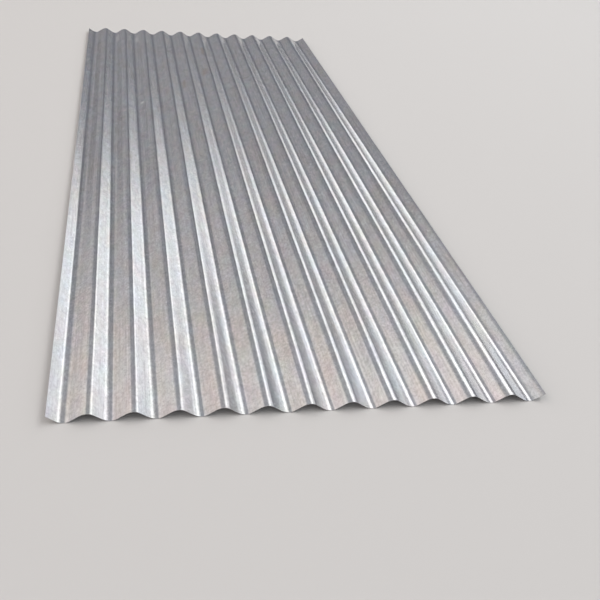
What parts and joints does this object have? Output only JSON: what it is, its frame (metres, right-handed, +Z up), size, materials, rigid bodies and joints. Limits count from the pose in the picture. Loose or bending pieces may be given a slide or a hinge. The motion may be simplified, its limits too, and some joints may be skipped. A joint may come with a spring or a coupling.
{
  "type": "corrugated metal sheet",
  "caption": "Galvanised steel sheet rolled into even round waves along its length, with both long edges turned up for the side lap and square-cut ends. It lies flat on its troughs.",
  "frame": {"origin": "middle of the sheet's outline, on the plane that the troughs rest on", "axes": "+X across the waves, +Y along the waves towards the far end, +Z up; the near end, which the picture looks at, is at -Y, and the sheet is symmetric about X = 0 and Y = 0"},
  "size_m": [0.8954, 2.438, 0.0177],
  "materials": {
    "galvanised_steel": "bare hot-dip galvanised, fine spangle, dull satin"
  },
  "bodies": {
    "root": {"corrugated_sheet": "galvanised_steel"}
  },
  "joints": []
}
